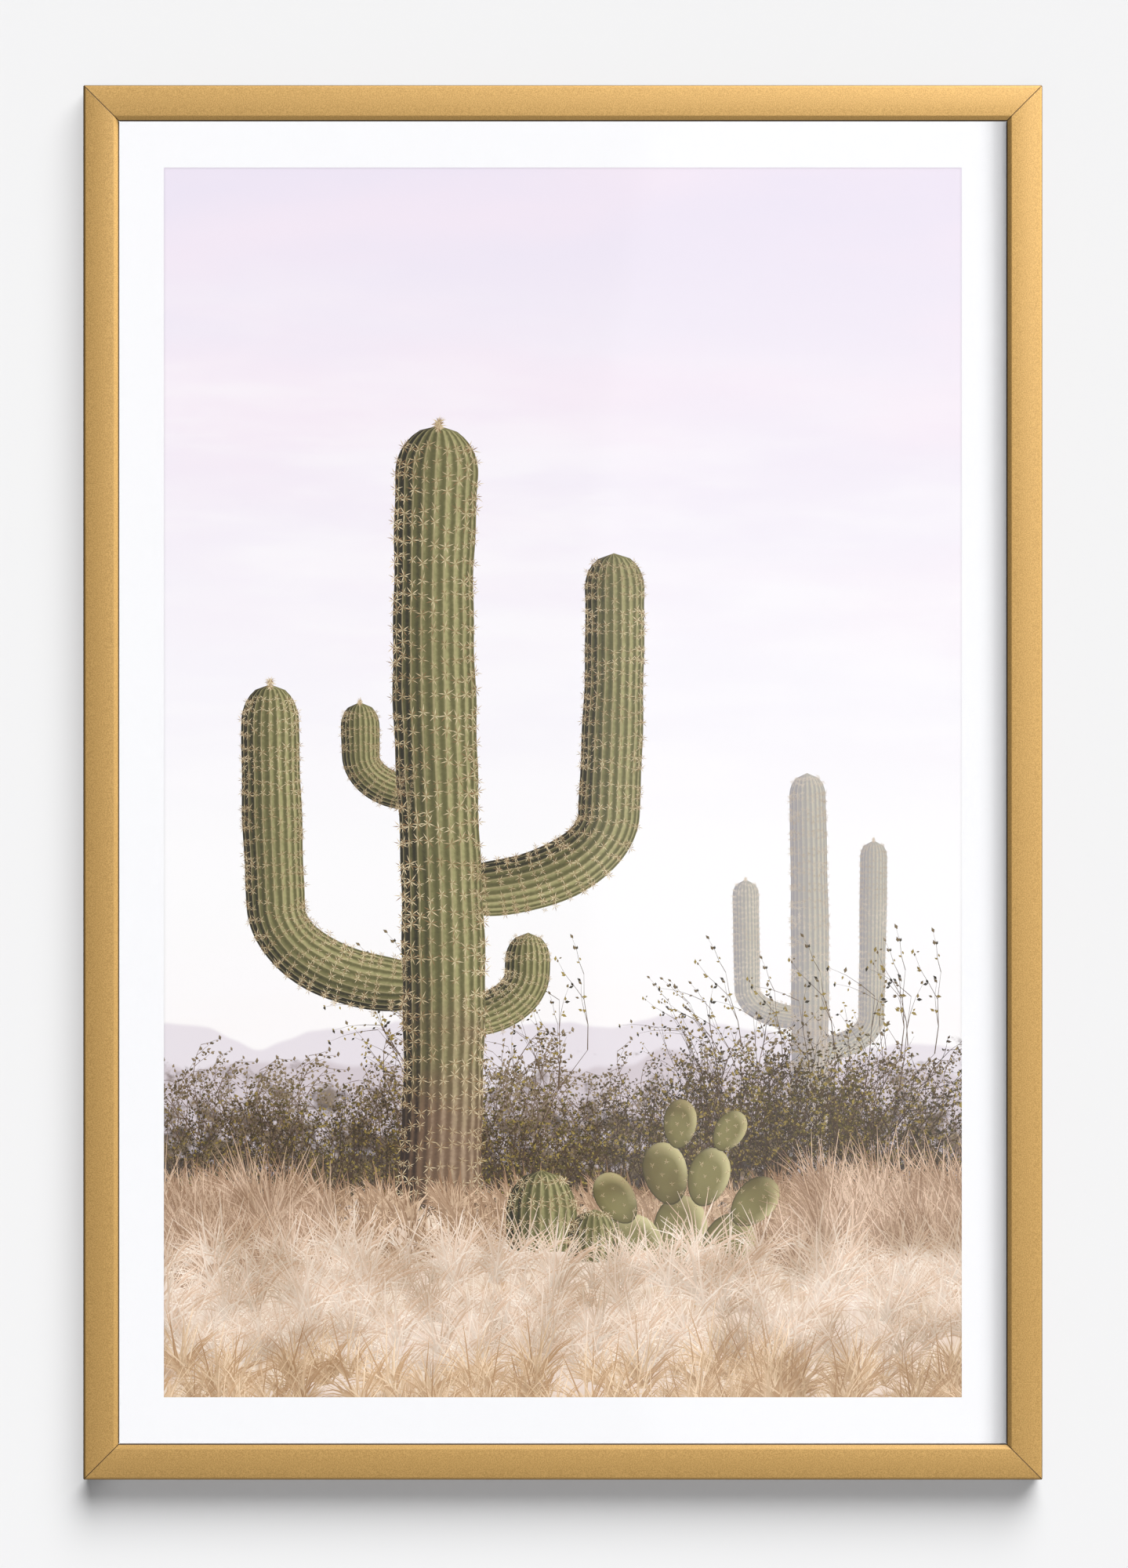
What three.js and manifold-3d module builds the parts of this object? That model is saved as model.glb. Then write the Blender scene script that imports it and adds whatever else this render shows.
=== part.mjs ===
// A framed picture: a mitred moulding that holds clear glazing, a mat with a window, a print
// and a backing board, with a toothed hanger on its top rail and two bumpers below.
// Millimetres. Seen from the front, +X is to the right, +Y runs back to the wall and +Z is up.
// The origin is the centre of the hanger's rear face, where the picture meets the wall.
import * as THREE from 'three';
import { mergeVertices } from 'three/addons/utils/BufferGeometryUtils.js';
import Module from 'manifold-3d';

const wasm = await Module();
wasm.setup();

// Moulding. The sheets are in a rebate behind the lip. Every depth along Y is a multiple of an
// eighth of a millimetre, which 32-bit numbers hold exactly, so faces that touch share a plane.
const SIGHT_WIDTH = 500;
const SIGHT_HEIGHT = 745;
const FACE_WIDTH = 20;
const MOULDING_DEPTH = 25;
const REBATE_WIDTH = 5;
const LIP_DEPTH = 6.5;
const SIGHT_BEVEL_WIDTH = 2.6;
const SIGHT_BEVEL_DEPTH = 3.25;
const FRONT_ROUND = 1;
const CROWN = 0.5;
const CROWN_STEPS = 8;
const BACK_CHAMFER = 0.5;
const ROUND_STEPS = 4;
const MITRE_GAP = 0.3;

// Sheets, from the front to the back.
const SHEET_CLEARANCE = 1;
const GLAZING_THICKNESS = 2;
const MAT_THICKNESS = 1.5;
const PRINT_THICKNESS = 0.25;
const BACKING_THICKNESS = 3;
const MAT_MARGIN_SIDE = 25;
const MAT_MARGIN_END = 25.8;

// Toothed hanger: a strip with two flat ears and a raised middle that rests on the wall.
const WALL_GAP = 2;
const HANGER_THICKNESS = 0.75;
const HANGER_LENGTH = 41;
const HANGER_HEIGHT = 9;
const HANGER_MIDDLE = 21;
const HANGER_RAMP = 2;
const HANGER_RAMP_SHIFT = 0.3;
const TOOTH_COUNT = 8;
const TOOTH_PITCH = 2.5;
const TOOTH_DEPTH = 1.8;
const TOOTH_WIDTH = 2;
const EAR_HOLE_RADIUS = 1.2;

// Hanger nails, in holes drilled in the top rail.
const NAIL_SPACING = 33;
const NAIL_RADIUS = 0.7;
const NAIL_LENGTH = 10;
const NAIL_POINT = 1.5;
const NAIL_HEAD_RADIUS = 1.9;
const NAIL_HEAD_THICKNESS = 0.5;
const NAIL_SEGMENTS = 16;

// Steel points that hold the sheets in, each with its tip in a slit in the rebate's wall.
const TAB_WIDTH = 6;
const TAB_LENGTH = 16;
const TAB_THICKNESS = 0.5;
const TAB_INSERTED = 5;
const TAB_POINT = 2;
const TAB_CORNER = 1.5;
const TAB_PLACES_ACROSS = [-130, 130];
const TAB_PLACES_UP = [-285, -95, 95, 285];

// Corner nails: angled steel strips driven from the back across each mitre.
const CORNER_NAIL_PLACES = [3, 8];
const CORNER_NAIL_LEG = 5;
const CORNER_NAIL_THICKNESS = 0.6;
const CORNER_NAIL_DEPTH = 8;
const CORNER_NAIL_SUNK = 0.25;

const SLOT_CLEARANCE = 0.25;
const CUT_OVERRUN = 1;

// Bumpers on the bottom rail hold the lower edge as far from the wall as the hanger does.
const BUMPER_RADIUS = 5;
const BUMPER_CHAMFER = 0.5;
const BUMPER_SEGMENTS = 32;
const BUMPER_INSET = 24;

// Places worked out from the sizes above.
const OUTER_WIDTH = SIGHT_WIDTH + 2 * FACE_WIDTH;
const OUTER_HEIGHT = SIGHT_HEIGHT + 2 * FACE_WIDTH;
const BACK_WIDTH = FACE_WIDTH - REBATE_WIDTH;
const SHEET_WIDTH = OUTER_WIDTH - 2 * (BACK_WIDTH + SHEET_CLEARANCE);
const SHEET_HEIGHT = OUTER_HEIGHT - 2 * (BACK_WIDTH + SHEET_CLEARANCE);
const CENTRE_Z = (BACK_WIDTH - OUTER_HEIGHT) / 2;
const MITRE_SETBACK = (MITRE_GAP / 2) * Math.SQRT2;
const RAIL_BACK = -WALL_GAP;
const RAIL_FRONT = RAIL_BACK - MOULDING_DEPTH;
const SHELF = RAIL_FRONT + LIP_DEPTH;
const GLAZING_BACK = SHELF + GLAZING_THICKNESS;
const MAT_BACK = GLAZING_BACK + MAT_THICKNESS;
const PRINT_BACK = MAT_BACK + PRINT_THICKNESS;
const BACKING_BACK = PRINT_BACK + BACKING_THICKNESS;
const EAR_BACK = RAIL_BACK + HANGER_THICKNESS;

const gold = { color: 0xcfa567, roughness: 0.42, metalness: 0.55 };
const clear = { color: 0xf4f8f8, roughness: 0.05, metalness: 0, transparent: true, opacity: 0.12 };
const white = { color: 0xfbfbfc, roughness: 0.9, metalness: 0 };
const printed = { color: 0xe6dccf, roughness: 0.6, metalness: 0 };
const brownBoard = { color: 0x8a6544, roughness: 0.8, metalness: 0 };
const steel = { color: 0xa9adb0, roughness: 0.35, metalness: 1 };
const rubber = { color: 0x4a4a4a, roughness: 0.7, metalness: 0 };

const picture = new THREE.Group();

function addMesh(name, geometry, look) {
  const mesh = new THREE.Mesh(geometry, new THREE.MeshStandardMaterial(look));
  mesh.name = name;
  picture.add(mesh);
  return mesh;
}

// Moves every vertex of a geometry to place(x, y, z).
function remap(geometry, place) {
  const position = geometry.attributes.position;
  for (let i = 0; i < position.count; i += 1) {
    position.setXYZ(i, ...place(position.getX(i), position.getY(i), position.getZ(i)));
  }
  return geometry;
}

// A closed outline in the XZ plane, extruded along Y from front to back.
function extrudeAlongY(points, front, back) {
  const shape = new THREE.Shape(points.map(([x, z]) => new THREE.Vector2(x, z)));
  const geometry = new THREE.ExtrudeGeometry(shape, { depth: 1, bevelEnabled: false });
  return remap(geometry, (x, z, t) => [x, back + t * (front - back), z]);
}

function toSolid(geometry) {
  const bare = geometry.clone();
  bare.deleteAttribute('normal');
  bare.deleteAttribute('uv');
  const welded = mergeVertices(bare);
  return new wasm.Manifold(new wasm.Mesh({
    numProp: 3,
    vertProperties: new Float32Array(welded.attributes.position.array),
    triVerts: new Uint32Array(welded.index.array),
  }));
}

// Cut vertices are rounded to a tenth of a micrometre, which puts them back on their planes.
function toGeometry(solid) {
  const mesh = solid.getMesh();
  const geometry = new THREE.BufferGeometry();
  const rounded = mesh.vertProperties.map((value) => Math.round(value * 1e4) / 1e4);
  geometry.setAttribute('position', new THREE.BufferAttribute(rounded, 3));
  geometry.setIndex(new THREE.BufferAttribute(mesh.triVerts, 1));
  geometry.computeVertexNormals();
  return geometry;
}

function subtractAll(solid, cutters) {
  return cutters.reduce((left, cutter) => left.subtract(toSolid(cutter)), solid);
}

// Moulding section: u runs inward from the outer edge to the sight edge, y from front to back.
function mouldingSection() {
  const points = [];
  for (let i = 0; i <= ROUND_STEPS; i += 1) {
    const turn = (i / ROUND_STEPS) * (Math.PI / 2);
    const u = FRONT_ROUND * (1 - Math.cos(turn));
    const y = RAIL_FRONT + CROWN + FRONT_ROUND * (1 - Math.sin(turn));
    points.push(new THREE.Vector2(u, y));
  }
  // The face is crowned: its middle stands proud of its two edges.
  const crownWidth = FACE_WIDTH - SIGHT_BEVEL_WIDTH - FRONT_ROUND;
  for (let i = 1; i <= CROWN_STEPS; i += 1) {
    const share = i / CROWN_STEPS;
    const y = RAIL_FRONT + CROWN * (2 * share - 1) ** 2;
    points.push(new THREE.Vector2(FRONT_ROUND + share * crownWidth, y));
  }
  points.push(new THREE.Vector2(FACE_WIDTH, RAIL_FRONT + SIGHT_BEVEL_DEPTH));
  points.push(new THREE.Vector2(FACE_WIDTH, SHELF));
  points.push(new THREE.Vector2(BACK_WIDTH, SHELF));
  points.push(new THREE.Vector2(BACK_WIDTH, RAIL_BACK));
  points.push(new THREE.Vector2(BACK_CHAMFER, RAIL_BACK));
  points.push(new THREE.Vector2(0, RAIL_BACK - BACK_CHAMFER));
  return new THREE.Shape(points);
}

// The section along local X, outer edge at z = 0, both ends cut back to the mitre.
function mitredRail(halfLength) {
  const geometry = new THREE.ExtrudeGeometry(mouldingSection(), { depth: 2, bevelEnabled: false });
  return remap(geometry, (u, y, t) => [(t - 1) * (halfLength - u - MITRE_SETBACK), y, -u]);
}

// An L with its corner at (place, place) and both legs running away from the outer corner.
function cornerNailOutline(place, grow) {
  const low = place - grow;
  const high = place + CORNER_NAIL_THICKNESS + grow;
  const far = place + CORNER_NAIL_LEG + grow;
  return [[low, low], [far, low], [far, high], [high, high], [high, far], [low, far]];
}

// Slots for the corner nails at both ends of a rail, in the rail's own frame.
function cornerNailSlots(halfLength) {
  const slots = [];
  for (const side of [-1, 1]) {
    for (const place of CORNER_NAIL_PLACES) {
      const outline = cornerNailOutline(place, SLOT_CLEARANCE);
      const points = outline.map(([along, inward]) => [side * (halfLength - along), -inward]);
      const bottom = RAIL_BACK - CORNER_NAIL_SUNK - CORNER_NAIL_DEPTH - SLOT_CLEARANCE;
      slots.push(extrudeAlongY(points, bottom, RAIL_BACK + CUT_OVERRUN));
    }
  }
  return slots;
}

// Slits that take the tips of the steel points, in the rail's own frame.
function tabSlits(places) {
  const deep = BACK_WIDTH - TAB_INSERTED - SLOT_CLEARANCE;
  const open = BACK_WIDTH + CUT_OVERRUN;
  const half = TAB_WIDTH / 2 + SLOT_CLEARANCE;
  return places.map((place) => extrudeAlongY(
    [[place - half, -open], [place + half, -open], [place + half, -deep], [place - half, -deep]],
    BACKING_BACK - SLOT_CLEARANCE,
    BACKING_BACK + TAB_THICKNESS + SLOT_CLEARANCE,
  ));
}

// Drilled holes for the hanger's nails, in the top rail's own frame.
function nailHoles() {
  const depth = NAIL_LENGTH + SLOT_CLEARANCE;
  return [-1, 1].map((side) => {
    const radius = NAIL_RADIUS + SLOT_CLEARANCE;
    const hole = new THREE.CylinderGeometry(radius, radius, depth + CUT_OVERRUN, NAIL_SEGMENTS);
    const y = EAR_BACK - depth + (depth + CUT_OVERRUN) / 2;
    return hole.translate(side * (NAIL_SPACING / 2), y, -BACK_WIDTH / 2);
  });
}

const sides = [
  { name: 'top', turn: 0, half: OUTER_WIDTH / 2, out: OUTER_HEIGHT / 2, tabs: TAB_PLACES_ACROSS },
  { name: 'right', turn: 1, half: OUTER_HEIGHT / 2, out: OUTER_WIDTH / 2, tabs: TAB_PLACES_UP },
  { name: 'bottom', turn: 2, half: OUTER_WIDTH / 2, out: OUTER_HEIGHT / 2, tabs: TAB_PLACES_ACROSS },
  { name: 'left', turn: 3, half: OUTER_HEIGHT / 2, out: OUTER_WIDTH / 2, tabs: TAB_PLACES_UP },
];

// Stands a piece made in a rail's own frame, with z = 0 at its outer edge, on its side.
function placeOnSide(mesh, side) {
  const angle = side.turn * (Math.PI / 2);
  mesh.rotation.y = angle;
  mesh.position.set(Math.sin(angle) * side.out, 0, CENTRE_Z + Math.cos(angle) * side.out);
}

for (const side of sides) {
  const cutters = [...cornerNailSlots(side.half), ...tabSlits(side.tabs)];
  if (side.name === 'top') {
    cutters.push(...nailHoles());
  }
  const solid = subtractAll(toSolid(mitredRail(side.half)), cutters);
  placeOnSide(addMesh(`rail_${side.name}`, toGeometry(solid), gold), side);
}

function addSheet(name, front, back, look) {
  const geometry = new THREE.BoxGeometry(SHEET_WIDTH, back - front, SHEET_HEIGHT);
  addMesh(name, geometry, look).position.set(0, (front + back) / 2, CENTRE_Z);
}

addSheet('glazing', SHELF, GLAZING_BACK, clear);
addSheet('print', MAT_BACK, PRINT_BACK, printed);
addSheet('backing_board', PRINT_BACK, BACKING_BACK, brownBoard);

// The mat's window is undercut at 45 degrees, so that the cut edge of its core is out of sight.
function matBoard() {
  const board = new THREE.BoxGeometry(SHEET_WIDTH, MAT_THICKNESS, SHEET_HEIGHT);
  const window = remap(new THREE.BoxGeometry(2, 2, 2), (x, y, z) => {
    const fromFront = y < 0 ? -CUT_OVERRUN : MAT_THICKNESS + CUT_OVERRUN;
    const halfWidth = SIGHT_WIDTH / 2 - MAT_MARGIN_SIDE + fromFront;
    const halfHeight = SIGHT_HEIGHT / 2 - MAT_MARGIN_END + fromFront;
    return [x * halfWidth, fromFront - MAT_THICKNESS / 2, z * halfHeight];
  });
  return toGeometry(subtractAll(toSolid(board), [window]));
}

addMesh('mat_board', matBoard(), white).position.set(0, MAT_BACK - MAT_THICKNESS / 2, CENTRE_Z);

// A steel point in its rail's own frame: the tip is pointed, the free end has cut corners.
function tab(place) {
  const half = TAB_WIDTH / 2;
  const tip = BACK_WIDTH - TAB_INSERTED;
  const end = tip + TAB_LENGTH;
  const points = [
    [place - TAB_POINT / 2, -tip],
    [place - half, -tip - TAB_POINT],
    [place - half, -end + TAB_CORNER],
    [place - half + TAB_CORNER, -end],
    [place + half - TAB_CORNER, -end],
    [place + half, -end + TAB_CORNER],
    [place + half, -tip - TAB_POINT],
    [place + TAB_POINT / 2, -tip],
  ];
  return extrudeAlongY(points, BACKING_BACK, BACKING_BACK + TAB_THICKNESS);
}

for (const side of sides) {
  side.tabs.forEach((place, index) => {
    placeOnSide(addMesh(`point_${side.name}_${index + 1}`, tab(place), steel), side);
  });
}

for (const [up, vertical] of [['top', 1], ['bottom', -1]]) {
  for (const [across, horizontal] of [['left', -1], ['right', 1]]) {
    CORNER_NAIL_PLACES.forEach((place, index) => {
      const points = cornerNailOutline(place, 0).map(([x, z]) => [
        horizontal * (OUTER_WIDTH / 2 - x),
        CENTRE_Z + vertical * (OUTER_HEIGHT / 2 - z),
      ]);
      const back = RAIL_BACK - CORNER_NAIL_SUNK;
      const geometry = extrudeAlongY(points, back - CORNER_NAIL_DEPTH, back);
      addMesh(`corner_nail_${up}_${across}_${index + 1}`, geometry, steel);
    });
  }
}

// The strip's section in X and Y, mirrored about X = 0, extruded over the hanger's height.
function hangerStrip() {
  const end = HANGER_LENGTH / 2;
  const middle = HANGER_MIDDLE / 2;
  const foot = middle + HANGER_RAMP;
  const rear = [[middle, 0], [foot, EAR_BACK], [end, EAR_BACK]];
  const front = [
    [end, RAIL_BACK],
    [foot - HANGER_RAMP_SHIFT, RAIL_BACK],
    [middle - HANGER_RAMP_SHIFT, -HANGER_THICKNESS],
  ];
  const right = [...rear, ...front];
  const left = right.map(([x, y]) => [-x, y]).reverse();
  const shape = new THREE.Shape([...right, ...left].map(([x, y]) => new THREE.Vector2(x, y)));
  const geometry = new THREE.ExtrudeGeometry(shape, { depth: HANGER_HEIGHT, bevelEnabled: false });
  return geometry.translate(0, 0, -HANGER_HEIGHT / 2);
}

function toothedHanger() {
  const bottom = -HANGER_HEIGHT / 2;
  const cutters = [];
  for (let i = 0; i < TOOTH_COUNT; i += 1) {
    const x = (i - (TOOTH_COUNT - 1) / 2) * TOOTH_PITCH;
    const flare = (TOOTH_WIDTH / 2) * (1 + CUT_OVERRUN / TOOTH_DEPTH);
    const points = [
      [x - flare, bottom - CUT_OVERRUN],
      [x + flare, bottom - CUT_OVERRUN],
      [x, bottom + TOOTH_DEPTH],
    ];
    cutters.push(extrudeAlongY(points, -HANGER_THICKNESS - CUT_OVERRUN, CUT_OVERRUN));
  }
  for (const side of [-1, 1]) {
    const height = WALL_GAP + 2 * CUT_OVERRUN;
    const hole = new THREE.CylinderGeometry(EAR_HOLE_RADIUS, EAR_HOLE_RADIUS, height, NAIL_SEGMENTS);
    cutters.push(hole.translate(side * (NAIL_SPACING / 2), -WALL_GAP / 2, 0));
  }
  return toGeometry(subtractAll(toSolid(hangerStrip()), cutters));
}

addMesh('hanger', toothedHanger(), steel);

// A nail turned about Y: point in the rail, head on the hanger's ear.
function nail() {
  const head = EAR_BACK + NAIL_HEAD_THICKNESS;
  const points = [
    [0, EAR_BACK - NAIL_LENGTH],
    [NAIL_RADIUS, EAR_BACK - NAIL_LENGTH + NAIL_POINT],
    [NAIL_RADIUS, EAR_BACK],
    [NAIL_HEAD_RADIUS, EAR_BACK],
    [NAIL_HEAD_RADIUS, EAR_BACK + NAIL_HEAD_THICKNESS / 2],
    [NAIL_HEAD_RADIUS * 0.7, head],
    [0, head],
  ];
  return new THREE.LatheGeometry(points.map(([r, y]) => new THREE.Vector2(r, y)), NAIL_SEGMENTS);
}

function bumper() {
  const points = [
    [0, RAIL_BACK],
    [BUMPER_RADIUS, RAIL_BACK],
    [BUMPER_RADIUS, -BUMPER_CHAMFER],
    [BUMPER_RADIUS - BUMPER_CHAMFER, 0],
    [0, 0],
  ];
  return new THREE.LatheGeometry(points.map(([r, y]) => new THREE.Vector2(r, y)), BUMPER_SEGMENTS);
}

for (const [across, horizontal] of [['left', -1], ['right', 1]]) {
  const hangerNail = addMesh(`hanger_nail_${across}`, nail(), steel);
  hangerNail.position.x = horizontal * (NAIL_SPACING / 2);
  const pad = addMesh(`bumper_${across}`, bumper(), rubber);
  const x = horizontal * (OUTER_WIDTH / 2 - BUMPER_INSET);
  pad.position.set(x, 0, CENTRE_Z - OUTER_HEIGHT / 2 + BACK_WIDTH / 2);
}

export default picture;
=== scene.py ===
import math
import random

import bmesh
import bpy
from mathutils import Matrix, Vector


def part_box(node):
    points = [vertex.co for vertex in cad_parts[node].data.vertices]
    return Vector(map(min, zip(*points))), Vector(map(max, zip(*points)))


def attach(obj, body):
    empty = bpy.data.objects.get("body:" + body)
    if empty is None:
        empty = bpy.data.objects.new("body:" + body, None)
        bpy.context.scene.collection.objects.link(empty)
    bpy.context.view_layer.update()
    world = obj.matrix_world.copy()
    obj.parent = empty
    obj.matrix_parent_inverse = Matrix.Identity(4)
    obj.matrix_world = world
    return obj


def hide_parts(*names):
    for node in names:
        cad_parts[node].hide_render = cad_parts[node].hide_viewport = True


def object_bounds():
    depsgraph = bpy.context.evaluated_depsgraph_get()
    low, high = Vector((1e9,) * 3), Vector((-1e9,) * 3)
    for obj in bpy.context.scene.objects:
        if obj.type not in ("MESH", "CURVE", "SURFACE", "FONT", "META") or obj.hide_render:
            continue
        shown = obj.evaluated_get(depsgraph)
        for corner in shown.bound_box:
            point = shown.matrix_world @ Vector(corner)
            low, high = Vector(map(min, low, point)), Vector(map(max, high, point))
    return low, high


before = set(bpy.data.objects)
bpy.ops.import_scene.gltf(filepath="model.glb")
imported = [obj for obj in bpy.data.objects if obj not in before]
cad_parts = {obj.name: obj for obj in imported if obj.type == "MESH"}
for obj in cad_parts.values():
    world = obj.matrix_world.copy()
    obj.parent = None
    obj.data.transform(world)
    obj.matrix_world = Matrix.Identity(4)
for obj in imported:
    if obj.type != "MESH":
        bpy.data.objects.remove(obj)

cad_low, cad_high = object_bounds()

# The frame is one stock moulding, wood with satin gold paint, sawn into four rails that are
# glued and nailed at the mitres. Its crowned face has a chamfer over a small ledge outside and
# a bevel at the sight edge. The mitre seams are stained brown, the outer ledge and the sight
# edge are painted dark brown as painted shade, and the back is bare wood.
FACE_WIDTH = 0.020
REBATE_WIDTH = 0.005
SIGHT_BEVEL_WIDTH = 0.0026
SIGHT_BEVEL_DEPTH = 0.00325
CROWN = 0.0004
CROWN_STEPS = 12
LEDGE = 0.0004
EDGE_CHAMFER = 0.0008
EDGE_DEPTH = 0.0013
# The last width and depth of the sight edge are painted dark brown as painted shade.
SIGHT_SHADE_WIDTH = 0.0004
SIGHT_SHADE_DEPTH = 0.0007
MITRE_SETBACK = 0.00001
MITRE_GROOVE = 0.00026
MITRE_EASE = 0.03
EASE_DEPTH = 0.006
RAIL_SHARP_FROM = math.radians(20)
rail_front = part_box("rail_top")[0].y
rail_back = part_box("rail_top")[1].y
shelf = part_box("glazing")[0].y
outer_width = cad_high.x - cad_low.x
outer_height = cad_high.z - cad_low.z
centre_z = (cad_low.z + cad_high.z) / 2


class Value:
    """What a node gives. Arithmetic on it adds Math nodes to its tree."""

    def __init__(self, nodes, socket):
        self.nodes = nodes
        self.socket = socket

    def math(self, operation, *values):
        return self.nodes.add("ShaderNodeMath", {"operation": operation}, dict(enumerate(values)))

    def sine(self):
        return self.math("SINE", self)

    def cosine(self):
        return self.math("COSINE", self)

    def arcsine(self):
        return self.math("ARCSINE", self)

    def __add__(self, other):
        return self.math("ADD", self, other)

    def __sub__(self, other):
        return self.math("SUBTRACT", self, other)

    def __rsub__(self, other):
        return self.math("SUBTRACT", other, self)

    def __mul__(self, other):
        return self.math("MULTIPLY", self, other)

    def __truediv__(self, other):
        return self.math("DIVIDE", self, other)

    __radd__ = __add__
    __rmul__ = __mul__


class Nodes:
    """A node tree in the making. add() makes any node: settings first, then values and links."""

    def __init__(self, tree):
        self.tree = tree

    def add(self, kind, settings=None, sockets=None, out=0):
        node = self.tree.nodes.new(kind)
        for name, setting in (settings or {}).items():
            if name == "stops":
                self.set_stops(node.color_ramp, setting)
            else:
                setattr(node, name, setting)
        for key, value in (sockets or {}).items():
            if isinstance(value, Value):
                self.tree.links.new(value.socket, node.inputs[key])
            else:
                node.inputs[key].default_value = value
        return Value(self, node.outputs[out])

    def set_stops(self, ramp, stops):
        ramp.interpolation = "EASE"
        while len(ramp.elements) < len(stops):
            ramp.elements.new(0.5)
        for element, (position, colour) in zip(ramp.elements, stops):
            element.position = position
            element.color = (*colour, 1)


class Finish(Nodes):
    """A material in the making."""

    def __init__(self, name):
        self.material = bpy.data.materials.new(name)
        self.material.use_nodes = True
        super().__init__(self.material.node_tree)
        self.tree.nodes.clear()
        self.output = self.tree.nodes.new("ShaderNodeOutputMaterial")

    def place(self):
        return self.add("ShaderNodeTexCoord", out="Object")

    def noise(self, vector, scale, detail=2.0, roughness=0.5):
        sockets = {"Vector": vector, "Scale": scale, "Detail": detail, "Roughness": roughness}
        return self.add("ShaderNodeTexNoise", {}, sockets)

    def fade(self, value, low, high):
        """0 at low, 1 at high, smooth between."""
        settings = {"interpolation_type": "SMOOTHSTEP"}
        return self.add("ShaderNodeMapRange", settings, {0: value, 1: low, 2: high})

    def mix(self, share, first, second):
        first = first if isinstance(first, Value) else (*first, 1)
        second = second if isinstance(second, Value) else (*second, 1)
        return self.add("ShaderNodeMix", {"data_type": "RGBA"}, {0: share, 6: first, 7: second}, 2)

    def bump(self, height, distance, strength):
        sockets = {"Strength": strength, "Distance": distance, "Height": height}
        return self.add("ShaderNodeBump", {}, sockets)

    def end(self, shader):
        self.tree.links.new(shader.socket, self.output.inputs["Surface"])
        return self.material

    def surface(self, **sockets):
        """Ends the material in a Principled shader. Words in a name are joined by underscores."""
        values = {name.replace("_", " "): value for name, value in sockets.items()}
        return self.end(self.add("ShaderNodeBsdfPrincipled", {}, values))


def gold_paint():
    finish = Finish("gold_paint")
    place = finish.place()
    grain = finish.noise(place, 1700, 1, 0.6)
    base = finish.mix(finish.fade(grain, 0.2, 0.8), (0.43, 0.254, 0.079), (0.635, 0.388, 0.132))
    return finish.surface(
        Base_Color=base,
        Metallic=0.1,
        Roughness=0.36 + 0.12 * grain,
        Specular_IOR_Level=0.3,
        Normal=finish.bump(grain, 0.0001, 0.4),
    )


def bare_wood():
    finish = Finish("bare_wood")
    found = finish.add("ShaderNodeUVMap", {"uv_map": "Stock"})
    place = finish.add("ShaderNodeMapping", {}, {0: found, 3: (14, 900, 1)})
    streak = finish.noise(place, 1, 4, 0.6)
    base = finish.mix(finish.fade(streak, 0.3, 0.75), (0.60, 0.42, 0.24), (0.42, 0.26, 0.13))
    return finish.surface(
        Base_Color=base,
        Roughness=0.75,
        Normal=finish.bump(streak, 0.0002, 0.3),
    )


# A mottled dark brown: the stain of the mitre seams, and painted shade at the sight edge and the
# outer ledge.
def brown_stain_and_shade(name, dark, pale):
    finish = Finish(name)
    grain = finish.noise(finish.place(), 900, 2, 0.6)
    return finish.surface(Base_Color=finish.mix(grain, dark, pale), Roughness=0.7)


def round_corner(before, corner, after, radius, steps):
    """Points of the arc of that radius in a corner of an outline."""
    a = (Vector(before) - Vector(corner)).normalized()
    b = (Vector(after) - Vector(corner)).normalized()
    half = a.angle(b) / 2
    middle = Vector(corner) + (a + b).normalized() * (radius / math.sin(half))
    start = Vector(corner) + a * (radius / math.tan(half)) - middle
    end = Vector(corner) + b * (radius / math.tan(half)) - middle
    turn = start.angle_signed(end)
    return [middle + Matrix.Rotation(-turn * i / steps, 2) @ start for i in range(steps + 1)]


def moulding_section():
    """The outline from the outer front edge inward: distance from the outer edge and depth of
    each point, and which finish starts there."""
    face_end = FACE_WIDTH - SIGHT_BEVEL_WIDTH
    face_depth = rail_front + CROWN
    ledge_depth = face_depth + EDGE_DEPTH
    sight_depth = rail_front + SIGHT_BEVEL_DEPTH
    back_width = FACE_WIDTH - REBATE_WIDTH
    corners = [
        # The outer ledge is painted dark brown: painted shade along the outer edge of the moulding.
        ((0, ledge_depth + LEDGE), 0.0002, 2, seam_stain_and_ledge_shade),
        ((LEDGE, ledge_depth), 0.0002, 2, gold),
        ((LEDGE + EDGE_CHAMFER, face_depth), 0.0005, 4, gold),
        ((face_end, face_depth), 0.0015, 8, gold),
        # The foot of the sight bevel is painted dark brown: painted shade where the moulding meets
        # the glazing.
        ((FACE_WIDTH - SIGHT_SHADE_WIDTH, sight_depth - SIGHT_SHADE_DEPTH), 0.0008, 3, sight_edge_shade),
        ((FACE_WIDTH, sight_depth), 0.0004, 3, sight_edge_shade),
        ((FACE_WIDTH, shelf), 0.0002, 2, wood),
        ((back_width, shelf), 0.0002, 2, wood),
        ((back_width, rail_back), 0.0003, 3, wood),
        ((0, rail_back), 0.0005, 3, gold),
    ]
    arcs = []
    for i, (corner, radius, steps, finish) in enumerate(corners):
        before = corners[i - 1][0]
        after = corners[(i + 1) % len(corners)][0]
        arc = round_corner(before, corner, after, radius, steps)
        arcs.append([(point, finish) for point in arc])
    start, end = arcs[2][-1][0].x, arcs[3][0][0].x
    for step in range(1, CROWN_STEPS):
        share = step / CROWN_STEPS
        rise = CROWN * (1 - (2 * share - 1) ** 2)
        arcs[2].append((Vector((start + (end - start) * share, face_depth - rise)), gold))
    return [point for arc in arcs for point in arc]


def written(mesh, name):
    """The mesh in the making, written to a new one of that name."""
    made = bpy.data.meshes.new(name)
    mesh.to_mesh(made)
    mesh.free()
    return made


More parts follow.
